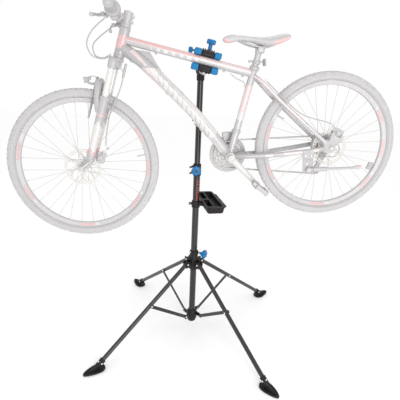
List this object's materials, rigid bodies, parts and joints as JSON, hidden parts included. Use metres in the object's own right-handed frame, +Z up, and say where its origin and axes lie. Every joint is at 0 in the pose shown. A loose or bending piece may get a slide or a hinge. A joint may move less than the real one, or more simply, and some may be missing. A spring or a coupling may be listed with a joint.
{
  "type": "bicycle on repair stand",
  "caption": "Mountain bicycle with suspension fork and disc brakes, held by its top tube in the clamp of a folding repair stand with splayed legs and a tool tray.",
  "frame": {"origin": "on the floor, under the middle of the whole object", "axes": "+Z up, +X towards the rear wheel, +Y towards the stand, away from the viewer"},
  "size_m": [1.782, 1.1354, 1.694],
  "materials": {
    "stand_tube": "satin black powder coat",
    "stand_plastic": "matt black",
    "knob_blue": "gloss blue",
    "pad_blue": "soft blue",
    "frame_paint": "pale grey and white gloss with pale red panels",
    "fork_paint": "pale grey gloss",
    "stanchion": "polished",
    "tyre": "pale matt rubber",
    "wheel_alloy": "satin",
    "rotor_steel": "brushed",
    "crank_alloy": "satin",
    "bar_black": "pale satin",
    "grip_rubber": "ribbed, pale",
    "controls": "pale satin",
    "saddle_cover": "soft, pale, with pink corners",
    "chain_steel": "oiled",
    "cable_sheath": "smooth",
    "pedal_plastic": "matt",
    "post_black": "satin"
  },
  "bodies": {
    "base": {"base_tube": "stand_tube", "bottom_hub": "stand_plastic", "height_clamp": "stand_plastic"},
    "collar": {"leg_collar": "stand_plastic"},
    "collar_knob": {"collar_knob": "knob_blue"},
    "leg_1": {"leg_1": "stand_tube", "foot_1": "stand_plastic"},
    "brace_1": {"brace_1": "stand_tube"},
    "leg_2": {"leg_2": "stand_tube", "foot_2": "stand_plastic"},
    "brace_2": {"brace_2": "stand_tube"},
    "leg_3": {"leg_3": "stand_tube", "foot_3": "stand_plastic"},
    "brace_3": {"brace_3": "stand_tube"},
    "leg_4": {"leg_4": "stand_tube", "foot_4": "stand_plastic"},
    "brace_4": {"brace_4": "stand_tube"},
    "mast": {"upper_tube": "stand_tube", "post_head": "stand_plastic"},
    "height_knob": {"height_knob": "knob_blue"},
    "head_knob": {"head_knob": "knob_blue"},
    "tray": {"tool_tray": "stand_plastic"},
    "clamp": {"clamp_arm": "stand_tube", "lower_pad": "pad_blue", "bike_frame": "frame_paint", "chain": "chain_steel", "rear_derailleur": "controls", "rear_caliper": "controls", "rear_brake_cable": "cable_sheath"},
    "jaw": {"upper_jaw": "stand_tube", "upper_pad": "pad_blue"},
    "clamp_screw": {"clamp_screw": "knob_blue"},
    "steering": {"fork_upper": "stanchion", "stem": "bar_black", "handlebar": "bar_black", "grip_left": "grip_rubber", "grip_right": "grip_rubber", "controls_left": "controls", "controls_right": "controls", "control_cables": "cable_sheath"},
    "fork_lowers": {"fork_lowers": "fork_paint", "front_caliper": "controls", "front_brake_cable": "cable_sheath"},
    "front_wheel": {"front_tyre": "tyre", "front_wheel": "wheel_alloy", "front_rotor": "rotor_steel"},
    "rear_wheel": {"rear_tyre": "tyre", "rear_wheel": "wheel_alloy", "rear_rotor": "rotor_steel"},
    "cranks": {"crankset": "crank_alloy", "left_crank": "crank_alloy"},
    "cassette": {"cassette": "rotor_steel"},
    "pedal_left": {"pedal_left": "pedal_plastic"},
    "brake_lever_left": {"brake_lever_left": "controls"},
    "pedal_right": {"pedal_right": "pedal_plastic"},
    "brake_lever_right": {"brake_lever_right": "controls"},
    "seat": {"seat_post": "post_black", "saddle": "saddle_cover"},
    "kickstand": {"kickstand_leg": "bar_black"}
  },
  "joints": [
    {"name": "collar_slide", "type": "slide", "parent": "base", "child": "collar", "axis": [0, 0, 1], "range_m": [0, 0.15]},
    {"name": "collar_knob_turn", "type": "hinge", "parent": "collar", "child": "collar_knob", "pos_m": [0.03106, -0.03786, 0.502], "axis": [0.8192, -0.5736, 0], "continuous": true},
    {"name": "leg_1_hinge", "type": "hinge", "parent": "collar", "child": "leg_1", "pos_m": [0.0185, 0.02789, 0.437], "axis": [-0.5577, 0.83, 0], "range_deg": [0, 21]},
    {"name": "brace_1_hinge", "type": "hinge", "parent": "base", "child": "brace_1", "pos_m": [0.01511, 0.04368, 0.1], "axis": [0.5577, -0.83, 0], "range_deg": [0, 23]},
    {"name": "leg_2_hinge", "type": "hinge", "parent": "collar", "child": "leg_2", "pos_m": [-0.05089, 0.0415, 0.437], "axis": [-0.83, -0.5577, 0], "range_deg": [0, 21]},
    {"name": "brace_2_hinge", "type": "hinge", "parent": "base", "child": "brace_2", "pos_m": [-0.06668, 0.03812, 0.1], "axis": [0.83, 0.5577, 0], "range_deg": [0, 23]},
    {"name": "leg_3_hinge", "type": "hinge", "parent": "collar", "child": "leg_3", "pos_m": [-0.0645, -0.02789, 0.437], "axis": [0.5577, -0.83, 0], "range_deg": [0, 21]},
    {"name": "brace_3_hinge", "type": "hinge", "parent": "base", "child": "brace_3", "pos_m": [-0.06112, -0.04368, 0.1], "axis": [-0.5577, 0.83, 0], "range_deg": [0, 23]},
    {"name": "leg_4_hinge", "type": "hinge", "parent": "collar", "child": "leg_4", "pos_m": [0.00489, -0.0415, 0.437], "axis": [0.83, 0.5577, 0], "range_deg": [0, 21]},
    {"name": "brace_4_hinge", "type": "hinge", "parent": "base", "child": "brace_4", "pos_m": [0.02068, -0.03812, 0.1], "axis": [-0.83, -0.5577, 0], "range_deg": [0, 23]},
    {"name": "mast_slide", "type": "slide", "parent": "base", "child": "mast", "axis": [0, 0, 1], "range_m": [-0.07, 0.35]},
    {"name": "height_knob_turn", "type": "hinge", "parent": "base", "child": "height_knob", "pos_m": [-0.031, -0.0425, 0.982], "axis": [0, 1, 0], "continuous": true},
    {"name": "head_knob_turn", "type": "hinge", "parent": "mast", "child": "head_knob", "pos_m": [-0.075, 0.022, 1.5725], "axis": [-0.9978, 0, 0.0659], "continuous": true},
    {"name": "tray_swivel", "type": "hinge", "parent": "base", "child": "tray", "pos_m": [-0.023, 0, 0.8], "axis": [0, 0, 1], "range_deg": [-120, 120]},
    {"name": "head_turn", "type": "hinge", "parent": "mast", "child": "clamp", "pos_m": [-0.023, -0.06, 1.476], "axis": [0, 1, 0], "range_deg": [-30, 45]},
    {"name": "jaw_slide", "type": "slide", "parent": "clamp", "child": "jaw", "axis": [0.196, 0, 0.9806], "range_m": [0, 0.02]},
    {"name": "clamp_screw_turn", "type": "hinge", "parent": "jaw", "child": "clamp_screw", "pos_m": [-0.01712, -0.208, 1.50882], "axis": [0.196, 0, 0.9806], "range_deg": [0, 1450]},
    {"name": "steering", "type": "hinge", "parent": "clamp", "child": "steering", "pos_m": [-0.394, -0.235, 1.509], "axis": [0.2588, 0, 0.9659], "range_deg": [-45, 45]},
    {"name": "fork_travel", "type": "slide", "parent": "steering", "child": "fork_lowers", "axis": [0.2588, 0, 0.9659], "range_m": [0, 0.045], "stiffness_N_per_m": 4500, "springref_m": -0.012},
    {"name": "front_wheel_turn", "type": "hinge", "parent": "fork_lowers", "child": "front_wheel", "pos_m": [-0.556, -0.235, 1.046], "axis": [0, 1, 0], "continuous": true},
    {"name": "rear_wheel_turn", "type": "hinge", "parent": "clamp", "child": "rear_wheel", "pos_m": [0.556, -0.235, 1.161], "axis": [0, 1, 0], "continuous": true},
    {"name": "crank_turn", "type": "hinge", "parent": "clamp", "child": "cranks", "pos_m": [0.1035, -0.235, 1.101], "axis": [0, 1, 0], "continuous": true},
    {"name": "cassette_turn", "type": "hinge", "parent": "clamp", "child": "cassette", "pos_m": [0.556, -0.235, 1.161], "axis": [0, 1, 0], "continuous": true},
    {"name": "pedal_left_spin", "type": "hinge", "parent": "cranks", "child": "pedal_left", "pos_m": [0.22783, -0.368, 0.98506], "axis": [0, 1, 0], "continuous": true},
    {"name": "brake_lever_left_hinge", "type": "hinge", "parent": "steering", "child": "brake_lever_left", "pos_m": [-0.43, -0.385, 1.65], "axis": [0, 0, 1], "range_deg": [0, 12], "stiffness_Nm_per_rad": 2, "springref_deg": -11.46},
    {"name": "pedal_right_spin", "type": "hinge", "parent": "cranks", "child": "pedal_right", "pos_m": [-0.02083, -0.102, 1.21694], "axis": [0, 1, 0], "continuous": true},
    {"name": "brake_lever_right_hinge", "type": "hinge", "parent": "steering", "child": "brake_lever_right", "pos_m": [-0.43, -0.085, 1.65], "axis": [0, 0, -1], "range_deg": [0, 12], "stiffness_Nm_per_rad": 2, "springref_deg": -11.46},
    {"name": "seat_slide", "type": "slide", "parent": "clamp", "child": "seat", "axis": [0.2154, 0, 0.9765], "range_m": [0, 0.1]},
    {"name": "kickstand_hinge", "type": "hinge", "parent": "clamp", "child": "kickstand", "pos_m": [0.457, -0.325, 1.062], "axis": [0, 1, 0], "range_deg": [0, 80]}
  ],
  "couplings": [
    {"joint": "leg_1_hinge", "follows": "collar_slide", "rad_per_m": 2.3751},
    {"joint": "brace_1_hinge", "follows": "collar_slide", "rad_per_m": 2.602},
    {"joint": "leg_2_hinge", "follows": "collar_slide", "rad_per_m": 2.3751},
    {"joint": "brace_2_hinge", "follows": "collar_slide", "rad_per_m": 2.602},
    {"joint": "leg_3_hinge", "follows": "collar_slide", "rad_per_m": 2.3751},
    {"joint": "brace_3_hinge", "follows": "collar_slide", "rad_per_m": 2.602},
    {"joint": "leg_4_hinge", "follows": "collar_slide", "rad_per_m": 2.3751},
    {"joint": "brace_4_hinge", "follows": "collar_slide", "rad_per_m": 2.602},
    {"joint": "clamp_screw_turn", "follows": "jaw_slide", "rad_per_m": 1256.6},
    {"joint": "cassette_turn", "follows": "crank_turn", "ratio": 1.622}
  ]
}
